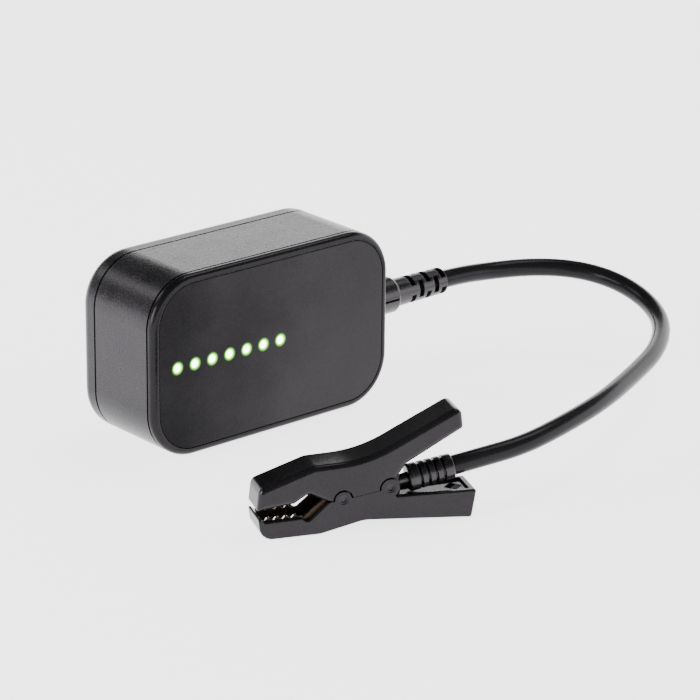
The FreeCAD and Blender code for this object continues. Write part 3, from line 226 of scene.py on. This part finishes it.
GRAIN, MOTTLE, RUBBED_PATCH = 0.0006, 0.012, 0.002
RUB_START, RUB_END, RUB_GAIN, RUB_LIFT = 0.4, 0.65, 2.0, 0.01
CLOUD_SHARE, GRAIN_SHARE = 0.4, 0.6
GRAIN_ROUGH, CLOUD_ROUGH = 0.06, 0.03
PLASTIC_EDGE, METAL_EDGE = 0.00025, 0.0001
PLASTIC_BUMP, METAL_BUMP = 0.6, 0.4
DARK_TINT = rgb(1.0, 0.92, 1.0)
CASE_SEAMS = (-0.016, 0.0114)
SEAM_HALF, SEAM_FADE = 0.00033, 0.0001
# The near black of the shade painted in crevices and seams.
PAINTED_SHADE_COLOUR = rgb(0.002, 0.002, 0.002)
STREAK, DULL_PATCH = 0.0006, 0.004
STREAK_ROUGH, PATCH_ROUGH = 0.1, (0.06, -0.04)
PATCH_DARK, PATCH_LIGHT = 0.7, 1.25
BRUSH = (1.0, 1.0, 6.0)
FINE_RELIEF = 0.00002


def speckled(s, colour, fine, cloud, depth):
    """A colour that varies a little with slow clouds and with the grain."""
    amount = s.math("ADD", s.spread(cloud, 0.0, CLOUD_SHARE), s.spread(fine, 0.0, GRAIN_SHARE))
    return s.mix(amount, scaled(colour, 1.0 - depth), scaled(colour, 1.0 + depth))


def seam_shade_mask(s, seams):
    """1 in the groove between two shells of the case, 0 beside it: the mask for shade painted in the seams.
    """
    depth = s.axis(s.place, "Y")
    offsets = [s.math("ABSOLUTE", s.math("SUBTRACT", depth, seam)) for seam in seams]
    return s.span(s.math("MINIMUM", *offsets), SEAM_HALF, SEAM_HALF + SEAM_FADE, 1.0, 0.0)


def moulded(name, colour, rough, grain=GRAIN, depth=0.00004, shine=0.3, wear=0.5, speck=0.5,
            seams=(), crevice_shade=0.0):
    """Moulded plastic: grain, faint mottling, slightly rubbed edges, and painted shade that turns crevices
    and seams near black.
    """
    s = Shader(name)
    fine = s.noise(grain, detail=2.0, rough=0.6)
    cloud = s.noise(MOTTLE, detail=4.0)
    soft = s.bevel(PLASTIC_EDGE)
    patches = s.span(s.noise(RUBBED_PATCH), RUB_START, RUB_END, 0.0, wear)
    rubbed = s.math("MULTIPLY", s.edge(soft), patches)
    base = s.mix(rubbed, speckled(s, colour, fine, cloud, speck), scaled(colour, RUB_GAIN, RUB_LIFT))
    roughness = s.math("ADD", s.spread(fine, rough - GRAIN_ROUGH, rough + GRAIN_ROUGH),
                       s.spread(cloud, -CLOUD_ROUGH, CLOUD_ROUGH))
    # Painted shade: deep in crevices and in the case's seams the colour goes near black and the shine fades
    # to nothing.
    gaps = []
    if crevice_shade:
        gaps.append(s.crevice_shade(crevice_shade))
    if seams:
        gaps.append(seam_shade_mask(s, seams))
    for gap in gaps:
        base = s.mix(gap, base, PAINTED_SHADE_COLOUR)
        shine = s.fade(gap, shine, 0.0)
    return s.finish(Base_Color=base, Roughness=roughness, Normal=s.bump(fine, depth, PLASTIC_BUMP, soft),
                    Specular_IOR_Level=shine, Specular_Tint=DARK_TINT)


def metal(name, colour, rough):
    """Plated or brushed metal with fine streaks and dull patches."""
    s = Shader(name)
    streak = s.noise(STREAK, detail=4.0, rough=0.7, stretch=BRUSH)
    patch = s.noise(DULL_PATCH)
    base = s.mix(patch, scaled(colour, PATCH_DARK), scaled(colour, PATCH_LIGHT))
    roughness = s.math("ADD", s.spread(streak, rough - STREAK_ROUGH, rough + STREAK_ROUGH),
                       s.spread(patch, *PATCH_ROUGH))
    normal = s.bump(streak, FINE_RELIEF, METAL_BUMP, s.bevel(METAL_EDGE))
    return s.finish(Base_Color=base, Roughness=roughness, Metallic=1.0, Normal=normal)


# The lights and the face: the lenses' glow, and the glow painted on the face round each hole, follow the
# distance from the nearest light.

LIGHT_FIRST, LIGHT_PITCH, LIGHT_COUNT, LIGHT_RADIUS = -0.0392, 0.007, 7, 0.0015
LIGHT_Z = 0.0309
HALF_ROW = LIGHT_PITCH * LIGHT_COUNT / 2
ROW_MIDDLE = LIGHT_FIRST + HALF_ROW - LIGHT_PITCH / 2
RIM_START, RIM_END = 0.7 * LIGHT_RADIUS, 1.05 * LIGHT_RADIUS
CORE_COLOUR, RIM_COLOUR = rgb(0.88, 1.0, 0.7), rgb(0.36, 1.0, 0.1)
CORE_GLOW, RIM_GLOW, HAZE_GLOW, HAZE = 10.0, 4.5, 0.3, 0.0008
RESIN, RESIN_ROUGH = rgb(0.55, 0.9, 0.5), 0.15
FACE_COLOUR, FACE_SPECK, FACE_CLOUD = (0.006, 0.0055, 0.0062), 0.75, 0.03
FACE_EDGE, FACE_RELIEF, FACE_BUMP = 0.0002, 0.00006, 0.5
FACE_ROUGH = (0.32, 0.44)
# Painted shade and sheen on the face: its shine is low on the left and rises to the right, with a slow drift.
PAINTED_LIGHT_LEFT, PAINTED_LIGHT_RIGHT, PAINTED_LIGHT_DRIFT = -0.05, 0.018, 0.014
PAINTED_SHEEN = (0.06, 0.21)
# The green glow painted on the face round each hole: how far it reaches, how it falls off, how strong and its
# colours.
SPILL_REACH, SPILL_POWER, SPILL_GLOW = 1.75 * LIGHT_RADIUS, 2.5, 3.2
SPILL_FAR, SPILL_NEAR = rgb(0.04, 0.75, 0.01), rgb(0.3, 1.0, 0.08)


def light_distance(s):
    """Distance from the nearest light's axis, and whether a point is beside the row."""
    across = s.axis(s.place, "X")
    along = s.math("WRAP", s.math("SUBTRACT", across, LIGHT_FIRST), LIGHT_PITCH / 2, -LIGHT_PITCH / 2)
    rise = s.math("SUBTRACT", s.axis(s.place, "Z"), LIGHT_Z)
    square = s.math("ADD", s.math("MULTIPLY", along, along), s.math("MULTIPLY", rise, rise))
    off_middle = s.math("ABSOLUTE", s.math("SUBTRACT", across, ROW_MIDDLE))
    return s.math("SQRT", square), s.math("LESS_THAN", off_middle, HALF_ROW)


def lens():
    """Lit resin: white in the middle, green towards the rim."""
    s = Shader("light_lens")
    distance, _ = light_distance(s)
    rim = s.span(distance, RIM_START, RIM_END, 0.0, 1.0)
    haze = s.spread(s.noise(HAZE, detail=2.0), -HAZE_GLOW, HAZE_GLOW)
    strength = s.math("ADD", s.fade(rim, CORE_GLOW, RIM_GLOW), haze)
    return s.finish(Base_Color=RESIN, Roughness=RESIN_ROUGH, Emission_Strength=strength,
                    Emission_Color=s.mix(rim, CORE_COLOUR, RIM_COLOUR))


def panel():
    """The face: finer grain than the case, a painted sheen, low on the left and rising to the right, and a
    painted glow of the lights round each hole.
    """
    s = Shader("panel_plastic")
    fine = s.noise(GRAIN, detail=2.0, rough=0.6)
    cloud = s.noise(FACE_CLOUD, detail=4.0)
    # Painted shade and sheen: the shine follows the position from left to right, moved a little by slow
    # clouds.
    painted_light_place = s.math("ADD", s.axis(s.place, "X"), s.spread(cloud, -PAINTED_LIGHT_DRIFT, PAINTED_LIGHT_DRIFT))
    distance, inside = light_distance(s)
    # Painted glow: the face itself glows green round each hole, strongest at the hole's edge.
    spill = s.span(distance, LIGHT_RADIUS, SPILL_REACH, 1.0, 0.0)
    glow = s.math("MULTIPLY", s.math("POWER", spill, SPILL_POWER), inside)
    return s.finish(Base_Color=speckled(s, FACE_COLOUR, fine, cloud, FACE_SPECK),
                    Roughness=s.spread(fine, *FACE_ROUGH),
                    Normal=s.bump(fine, FACE_RELIEF, FACE_BUMP, s.bevel(FACE_EDGE)),
                    Specular_IOR_Level=s.span(painted_light_place, PAINTED_LIGHT_LEFT, PAINTED_LIGHT_RIGHT, *PAINTED_SHEEN),
                    Specular_Tint=DARK_TINT, Emission_Color=s.mix(spill, SPILL_FAR, SPILL_NEAR),
                    Emission_Strength=s.math("MULTIPLY", glow, SPILL_GLOW))


# The clip: its hinge and its own directions, as the part has them, and its contacts' metal.

PIVOT = Vector((-0.020514, -0.096953, 0.0126))
PIVOT_ALONG = 0.0361
CLIP_ANGLE = math.radians(-23.34)
CLIP_ALONG = Vector((math.cos(CLIP_ANGLE), math.sin(CLIP_ANGLE), 0))
CLIP_ACROSS = Vector((-CLIP_ALONG.y, CLIP_ALONG.x, 0))
TEETH_RUN, TEETH_FADE = 0.0085, 0.0004
TEETH_END = PIVOT.dot(CLIP_ALONG) - PIVOT_ALONG + TEETH_RUN
CONTACT_PATCH, CONTACT_STREAK = 0.003, 0.0005
# The teeth's upward faces take pale metal: partly rubbed wear, partly a painted highlight.
UPWARD_NONE, UPWARD_FULL = 0.15, 0.4
WORN_HIGHLIT_LEAST, WORN_HIGHLIT_FROM, WORN_HIGHLIT_TO = 0.7, 0.3, 0.5
DULL_DARK, DULL_LIGHT = rgb(0.022, 0.012, 0.008), rgb(0.06, 0.034, 0.022)
WORN_HIGHLIT_METAL = rgb(0.95, 0.92, 0.88)
DULL_ROUGH, WORN_HIGHLIT_ROUGH, CONTACT_ROUGH = 0.38, 0.2, 0.08
DULL_METALLIC, CONTACT_SHINE = 0.3, 0.15


def contact():
    """The contacts: dull brown plating, with pale bare metal on the teeth's upward faces, partly rubbed wear
    and partly a painted highlight.
    """
    s = Shader("contact_metal")
    patch = s.noise(CONTACT_PATCH)
    streak = s.noise(CONTACT_STREAK, rough=0.7)
    teeth = s.span(s.dot(s.place, CLIP_ALONG), TEETH_END, TEETH_END + TEETH_FADE, 1.0, 0.0)
    # Painted highlight with wear: only the teeth's faces that point up turn to pale metal, patchy with the
    # wear.
    upward = s.span(s.axis(s.normal(), "Z"), UPWARD_NONE, UPWARD_FULL, 0.0, 1.0)
    worn_and_highlit = s.math("MULTIPLY", teeth, upward)
    worn_and_highlit = s.math("MULTIPLY", worn_and_highlit, s.span(patch, WORN_HIGHLIT_FROM, WORN_HIGHLIT_TO, WORN_HIGHLIT_LEAST, 1.0))
    dull = s.mix(patch, DULL_DARK, DULL_LIGHT)
    roughness = s.math("ADD", s.fade(worn_and_highlit, DULL_ROUGH, WORN_HIGHLIT_ROUGH),
                       s.spread(streak, -CONTACT_ROUGH, CONTACT_ROUGH))
    return s.finish(Base_Color=s.mix(worn_and_highlit, dull, WORN_HIGHLIT_METAL), Roughness=roughness,
                    Metallic=s.fade(worn_and_highlit, DULL_METALLIC, 1.0), Specular_IOR_Level=CONTACT_SHINE,
                    Normal=s.bump(streak, FINE_RELIEF, METAL_BUMP, s.bevel(METAL_EDGE)))


PLASTICS = {
    "case_plastic": dict(colour=(0.0125, 0.0117, 0.0132), rough=0.27, grain=0.0007, depth=0.00009,
                         shine=0.22, seams=CASE_SEAMS),
    # A darker, less shiny copy of the case plastic for the front frame: painted shade where the frame
    # reflects dark surroundings.
    "frame_plastic_painted_shade": dict(colour=(0.006, 0.0056, 0.0064), rough=0.22, depth=0.00003, shine=0.15,
                          seams=CASE_SEAMS),
    "inner_plastic": dict(colour=(0.012, 0.012, 0.013), rough=0.4),
    "board_laminate": dict(colour=(0.012, 0.07, 0.025), rough=0.35),
    "resistor_lacquer": dict(colour=(0.42, 0.3, 0.15), rough=0.3),
    "resistor_ceramic": dict(colour=(0.65, 0.63, 0.57), rough=0.6, grain=0.0005),
    "terminal_plastic": dict(colour=(0.015, 0.12, 0.045), rough=0.4),
    "relief_rubber": dict(colour=(0.008, 0.0075, 0.0084), rough=0.28, grain=0.0004, shine=0.42,
                          wear=0.15, crevice_shade=0.001),
    "lead_jacket": dict(colour=(0.011, 0.0105, 0.0116), rough=0.2, depth=0.000012, shine=0.1,
                        wear=0.0, speck=0.3),
    "clip_plastic": dict(colour=(0.008, 0.0074, 0.0083), rough=0.15, depth=0.00002, shine=0.21,
                         crevice_shade=0.0007),
}
METALS = {
    "can_aluminium": dict(colour=(0.55, 0.56, 0.58), rough=0.35),
    "screw_steel": dict(colour=(0.45, 0.45, 0.47), rough=0.3),
    "terminal_metal": dict(colour=(0.5, 0.49, 0.47), rough=0.25),
    "pin_steel": dict(colour=(0.032, 0.031, 0.034), rough=0.42),
    "spring_steel": dict(colour=(0.3, 0.3, 0.32), rough=0.28),
}
MATERIALS = {name: moulded(name, **look) for name, look in PLASTICS.items()}
MATERIALS.update({name: metal(name, **look) for name, look in METALS.items()})
MATERIALS.update(light_lens=lens(), panel_plastic=panel(), contact_metal=contact())
# The front frame takes the darker copy of the case plastic, which paints shade on it.
PAINTED_SHADE_FINISH = {"front_frame": "frame_plastic_painted_shade"}

for entry in frame["record"]["subparts"]:
    mesh = nodes[entry["node"]].data
    mesh.materials.clear()
    mesh.materials.append(MATERIALS[PAINTED_SHADE_FINISH.get(entry["node"], entry["material_slot"])])


def finish_piece(piece, slot, body):
    piece.data.materials.append(MATERIALS[slot])
    if body:
        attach(piece, body)


def smooth_faces(mesh):
    for face in mesh.polygons:
        face.use_smooth = True


# The lead: one spline over the route's points, which are in millimetres.

LEAD_DIAMETER, LEAD_LENGTH = 0.0062, 0.2443
SPLINE_STEPS, SPLINE_ORDER = 12, 3
ROUTE = [
    (83.3, -6.4, 30.35), (92, -6.4, 30.35), (107, -7, 29), (120.5, -12, 28.8), (130.5, -20.5, 28.5),
    (136.5, -31, 27.4), (138.5, -42.5, 25.6), (136.5, -55.5, 23.2), (129, -68.5, 21), (112, -82.5, 20),
    (90, -93.5, 20), (64.5, -105, 20.3), (41.5, -110.5, 19.5), (23, -112.2, 18), (7.16, -108.893, 16.714),
    (-0.711, -105.497, 15.233),
]


def tube(name, points, diameter, smooth=True, facets=6):
    """A round tube along one spline, or along straight runs."""
    data = bpy.data.curves.new(name, "CURVE")
    data.dimensions = "3D"
    data.resolution_u = SPLINE_STEPS
    data.bevel_depth = diameter / 2
    data.bevel_resolution = facets
    data.use_fill_caps = True
    line = data.splines.new("NURBS" if smooth else "POLY")
    line.points.add(len(points) - 1)
    for point, place in zip(line.points, points):
        point.co = (*place, 1.0)
    if smooth:
        line.order_u = SPLINE_ORDER
        line.use_endpoint_u = True
    return placed(name, data)


def make_lead():
    points = [Vector(p) / 1000 for p in ROUTE]
    lead = tube("lead", points, LEAD_DIAMETER)
    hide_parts("test_lead")
    finish_piece(lead, "lead_jacket", "tester")
    return lead, points[0]


lead, lead_exit = make_lead()


# The clip's torsion spring, which winds up between the two halves.

COIL_RADIUS, COIL_HALF, WIRE = 0.00245, 0.0019, 0.0009
COIL_START, COIL_TURN, COIL_STEPS = math.radians(-105), math.radians(720 + 105), 96
LOWER_LEG, LOWER_LEAN, LOWER_STEPS = 0.006, math.radians(-15), 4
UPPER_LEG, UPPER_RISE, UPPER_STEPS = 0.0107, math.radians(60), 6


def coil_point(part):
    """A point of the coil round the pivot: along, across and up."""
    angle = COIL_START - COIL_TURN * part
    across = COIL_HALF * (1 - 2 * part)
    return COIL_RADIUS * math.cos(angle), across, COIL_RADIUS * math.sin(angle)


def leg_point(start, angle, reach):
    """A point of a straight leg, that far from the coil's end."""
    along, across, rise = start
    return along + reach * math.cos(angle), across, rise + reach * math.sin(angle)


def make_spring():
    coil = [coil_point(step / COIL_STEPS) for step in range(COIL_STEPS + 1)]
    lower = [leg_point(coil[0], LOWER_LEAN, LOWER_LEG * k / LOWER_STEPS) for k in range(LOWER_STEPS, 0, -1)]
    upper = [leg_point(coil[-1], UPPER_RISE, UPPER_LEG * k / UPPER_STEPS) for k in range(1, UPPER_STEPS + 1)]
    points = [PIVOT + CLIP_ALONG * along + CLIP_ACROSS * across + UP * rise
              for along, across, rise in lower + coil + upper]
    shape = tube("spring_wire", points, WIRE, smooth=False, facets=4)
    solid = shape.evaluated_get(bpy.context.evaluated_depsgraph_get())
    mesh = bpy.data.meshes.new_from_object(solid)
    bpy.data.objects.remove(shape)
    mesh.name = "torsion_spring"
    mesh.materials.clear()
    smooth_faces(mesh)
    spring = placed("torsion_spring", mesh)
    finish_piece(spring, "spring_steel", None)
    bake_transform(spring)
    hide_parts("jaw_spring")
    return spring


spring = make_spring()


# The upper jaw: the part's own shape, its nose drawn down over the teeth and its throat drawn back.

NOSE_DROP, NOSE_LEAN = 0.0016, 0.0006
NOSE_FULL, NOSE_NONE = 0.0105, 0.0155
NOSE_TOP, NOSE_BOTTOM, NOSE_RISE = 0.018, 0.0115, 0.327
THROAT_ALONG, THROAT_Z, THROAT_SPREAD = 0.0386, 0.01975, 0.0018
THROAT_BACK, THROAT_DROP = 0.0023, 0.0004


def share(low, high, value):
    """How far a value has come from low to high, held between 0 and 1."""
    return min(1.0, max(0.0, (value - low) / (high - low)))


def smooth_share(low, high, value):
    part = share(low, high, value)
    return part * part * (3 - 2 * part)


def drawn(place):
    """Where a point of the upper jaw goes."""
    along = (place - PIVOT).dot(CLIP_ALONG) + PIVOT_ALONG
    front = 1.0 - smooth_share(NOSE_FULL, NOSE_NONE, along)
    nose = front * share(NOSE_TOP + NOSE_RISE * along, NOSE_BOTTOM, place.z)
    squared = (along - THROAT_ALONG) ** 2 + (place.z - THROAT_Z) ** 2
    throat = math.exp(-squared / (2 * THROAT_SPREAD ** 2))
    back = throat * THROAT_BACK - nose * NOSE_LEAN
    drop = throat * THROAT_DROP + nose * NOSE_DROP
    return place + CLIP_ALONG * back - UP * drop


def make_upper_jaw():
    source = nodes["upper_jaw"]
    mesh = source.data.copy()
    mesh.name = "upper_jaw_shell"
    for vertex in mesh.vertices:
        vertex.co = drawn(source.matrix_world @ vertex.co)
    mesh.materials.clear()
    shell = placed("upper_jaw_shell", mesh)
    finish_piece(shell, "clip_plastic", "upper_arm")
    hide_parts("upper_jaw")
    return shell


# The lead's bared stub between the clip's hub and its sleeve: a turned shape of (reach, radius) points.

SLEEVE_ALONG, SLEEVE_Z, SLEEVE_TILT = 0.0439, 0.01285, math.radians(9.8)
STUB_PROFILE = [(-0.0046, 0.0), (-0.0046, 0.0016), (-0.0043, 0.0019), (-0.0006, 0.0019), (-0.0006, 0.0036),
                (-0.0005, 0.0040), (-0.0001, 0.00425), (0.0006, 0.00433), (0.0006, 0.0)]
STUB_SIDES, STUB_CREASE = 40, math.radians(40)


def make_stub():
    axis = CLIP_ALONG * math.cos(SLEEVE_TILT) + UP * math.sin(SLEEVE_TILT)
    above = axis.cross(CLIP_ACROSS)
    middle = PIVOT + CLIP_ALONG * (SLEEVE_ALONG - PIVOT_ALONG) + UP * (SLEEVE_Z - PIVOT.z)
    angles = [2 * math.pi * side / STUB_SIDES for side in range(STUB_SIDES)]
    around = [CLIP_ACROSS * math.cos(angle) + above * math.sin(angle) for angle in angles]
    points = [tuple(middle + axis * reach + out * radius) for reach, radius in STUB_PROFILE for out in around]
    faces = []
    for ring in range(len(STUB_PROFILE) - 1):
        first, second = ring * STUB_SIDES, (ring + 1) * STUB_SIDES
        for side in range(STUB_SIDES):
            ahead = (side + 1) % STUB_SIDES
            faces.append((first + side, first + ahead, second + ahead, second + side))
    mesh = bpy.data.meshes.new("lead_stub")
    mesh.from_pydata(points, [], faces)
    mesh.validate()
    smooth_faces(mesh)
    mesh.set_sharp_from_angle(angle=STUB_CREASE)
    stub = placed("lead_stub", mesh)
    finish_piece(stub, "relief_rubber", "tester")
    return stub


upper_jaw = make_upper_jaw()
stub = make_stub()


# Floor, backdrop and lights

FLOOR_REACH, FLOOR_GLOW = 8.0, 2.8
PAPER_DARK, PAPER_LIGHT, PAPER_CLOUD = rgb(0.84, 0.84, 0.85), rgb(0.86, 0.86, 0.87), 0.05
PAPER_ROUGH, PAPER_SHINE = 0.9, 0.1
COOL = 1.01
BACKDROP_TILT = 0.28
BACKDROP_STOPS = [(0.0, 4.0), (0.2, 4.0), (0.26, 0.18), (1.0, 0.05)]
SOFTBOXES = {
    "left_softbox": dict(place=(-1.1, 0.25, 0.35), target=(0, 0, 0.03), size=(0.7, 0.6), power=16.0),
    "top_softbox": dict(place=(0.55, 0.0, 1.07), target=(0, -0.03, 0.04), size=(0.5, 0.5), power=3.2),
    "ceiling_softbox": dict(place=(-0.58, 0.99, 0.88), target=(-0.04, 0, 0.05), size=(0.42, 0.42),
                            power=2.3),
}


def make_floor():
    data = bpy.data.meshes.new("floor")
    signs = ((-1, -1), (1, -1), (1, 1), (-1, 1))
    corners = [(x * FLOOR_REACH, y * FLOOR_REACH, 0) for x, y in signs]
    data.from_pydata(corners, [], [(0, 1, 2, 3)])
    floor = placed("floor", data)
    s = Shader("floor_paper")
    colour = s.mix(s.noise(PAPER_CLOUD), PAPER_DARK, PAPER_LIGHT)
    paper = s.finish(Base_Color=colour, Roughness=PAPER_ROUGH, Specular_IOR_Level=PAPER_SHINE,
                     Emission_Color=rgb(1.0, 1.0, COOL), Emission_Strength=FLOOR_GLOW)
    data.materials.append(paper)


def make_world():
    """A white sweep, higher on the right than on the left, and a dark room above it."""
    world = bpy.data.worlds.new("studio")
    world.use_nodes = True
    tree = world.node_tree
    back = tree.nodes["Background"]
    direction = tree.nodes.new("ShaderNodeTexCoord").outputs["Generated"]
    height = tree.nodes.new("ShaderNodeVectorMath")
    height.operation = "DOT_PRODUCT"
    tree.links.new(direction, height.inputs[0])
    height.inputs[1].default_value = (-BACKDROP_TILT, 0.0, 1.0)
    ramp = tree.nodes.new("ShaderNodeValToRGB")
    stops = ramp.color_ramp.elements
    while len(stops) < len(BACKDROP_STOPS):
        stops.new(0.5)
    for stop, (place, value) in zip(stops, BACKDROP_STOPS):
        stop.position = place
        stop.color = rgb(value, value, value * COOL)
    tree.links.new(height.outputs["Value"], ramp.inputs["Fac"])
    tree.links.new(ramp.outputs["Color"], back.inputs["Color"])
    back.inputs["Strength"].default_value = 1.0
    scene.world = world


def area_light(name, place, target, size, power):
    data = bpy.data.lights.new(name, "AREA")
    data.shape = "RECTANGLE"
    data.size, data.size_y = size
    data.energy = power
    light = placed(name, data)
    light.location = place
    light.rotation_euler = (Vector(target) - Vector(place)).to_track_quat("-Z", "Y").to_euler()


make_floor()
make_world()
for name, light in SOFTBOXES.items():
    area_light(name, **light)
